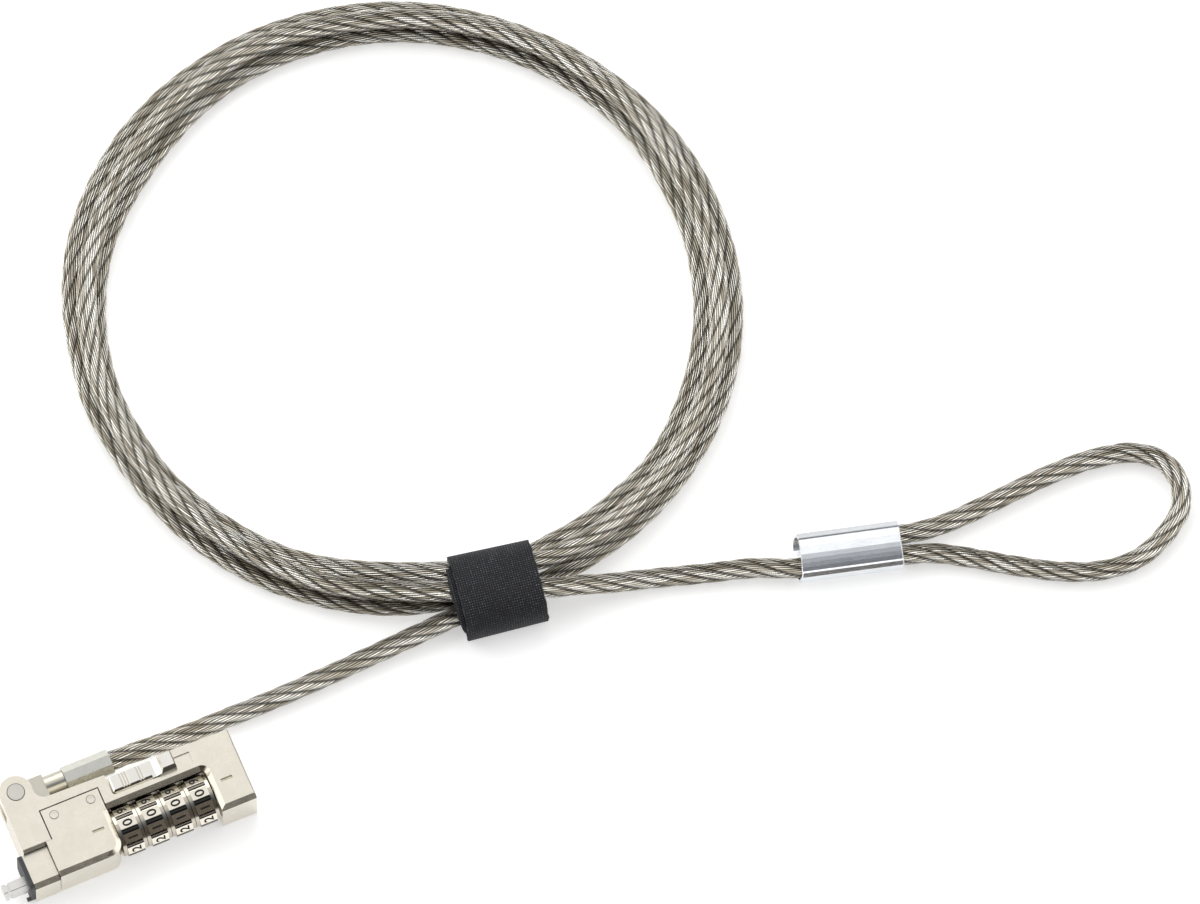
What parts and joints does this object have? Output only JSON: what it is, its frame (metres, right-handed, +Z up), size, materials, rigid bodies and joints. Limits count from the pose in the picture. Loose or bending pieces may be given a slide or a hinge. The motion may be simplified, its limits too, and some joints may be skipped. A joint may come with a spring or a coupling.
{
  "type": "laptop cable lock",
  "caption": "Combination cable lock for laptops: slim metal body with number dials, thumb slide and slot tip, and a coiled steel rope with a crimped end loop and a hook-and-loop tie.",
  "frame": {"origin": "middle of the lock body's box at its underside, which rests on the table; the cable isn't counted", "axes": "+X along the lock body, from the slot tip to the far end of the dials; +Y from the dials towards the cable pivot; +Z up, out of the face with the thumb slide"},
  "size_m": [0.3059, 0.2108, 0.0152],
  "materials": {
    "satin_nickel": "satin nickel plate on die-cast zinc",
    "plate_nickel": "satin nickel plate",
    "bright_nickel": "polished nickel",
    "dial_nickel": "satin nickel with grooves",
    "brass": "plain",
    "steel": "plain hardened steel",
    "dark_steel": "blackened",
    "spring_steel": "plain spring steel",
    "anchor_steel": "brushed",
    "gasket_rubber": "matte",
    "rope_steel": "stranded wire rope",
    "sleeve_aluminium": "bright, pressed",
    "tie_fabric": "woven hook-and-loop tape"
  },
  "bodies": {
    "lock_body": {"housing": "satin_nickel", "base_plate": "plate_nickel", "base_screws": "dark_steel", "head_cover": "satin_nickel", "cover_rivets": "plate_nickel", "lock_head": "satin_nickel", "nose_gasket": "gasket_rubber", "fixed_tip": "steel", "tip_pin": "steel", "locating_pin": "dark_steel", "pivot_pin": "plate_nickel", "dial_spindle": "steel", "spindle_clip": "dark_steel", "detent_spring": "spring_steel", "slide_spring": "spring_steel"},
    "slide": {"thumb_slide": "bright_nickel", "slide_screw": "dark_steel", "slide_link": "steel", "fence_bar": "steel", "tip_latch": "steel"},
    "wheel_1": {"dial_1": "dial_nickel", "dial_hub_1": "brass"},
    "wheel_2": {"dial_2": "dial_nickel", "dial_hub_2": "brass"},
    "wheel_3": {"dial_3": "dial_nickel", "dial_hub_3": "brass"},
    "wheel_4": {"dial_4": "dial_nickel", "dial_hub_4": "brass"},
    "reset": {"reset_screw": "steel"},
    "cable": {"cable_anchor": "anchor_steel", "swivel_stud": "steel", "cable_lead": "rope_steel", "cable_coil": "rope_steel", "cable_run": "rope_steel", "cable_eye": "rope_steel", "crimp_sleeve": "sleeve_aluminium", "cable_tie": "tie_fabric"},
    "ferrule": {"cable_ferrule": "anchor_steel"}
  },
  "joints": [
    {"name": "cable_pivot", "type": "hinge", "parent": "lock_body", "child": "cable", "pos_m": [-0.02065, 0.0098, 0.0065], "axis": [0, 0, 1], "range_deg": [0, 180]},
    {"name": "ferrule_swivel", "type": "hinge", "parent": "cable", "child": "ferrule", "pos_m": [-0.002, 0.01, 0.0065], "axis": [1, 0, 0], "continuous": true},
    {"name": "dial_1_turn", "type": "hinge", "parent": "lock_body", "child": "wheel_1", "pos_m": [0.00122, -0.00775, 0.0069], "axis": [1, 0, 0], "continuous": true},
    {"name": "dial_2_turn", "type": "hinge", "parent": "lock_body", "child": "wheel_2", "pos_m": [0.00752, -0.00775, 0.0069], "axis": [1, 0, 0], "continuous": true},
    {"name": "dial_3_turn", "type": "hinge", "parent": "lock_body", "child": "wheel_3", "pos_m": [0.01383, -0.00775, 0.0069], "axis": [1, 0, 0], "continuous": true},
    {"name": "dial_4_turn", "type": "hinge", "parent": "lock_body", "child": "wheel_4", "pos_m": [0.02013, -0.00775, 0.0069], "axis": [1, 0, 0], "continuous": true},
    {"name": "slide_travel", "type": "slide", "parent": "lock_body", "child": "slide", "axis": [1, 0, 0], "range_m": [0, 0.004], "stiffness_N_per_m": 300, "springref_m": -0.002, "deforming": ["slide_spring"]},
    {"name": "reset_turn", "type": "hinge", "parent": "lock_body", "child": "reset", "pos_m": [0.031, -0.00775, 0.0069], "axis": [1, 0, 0], "range_deg": [0, 90]}
  ]
}
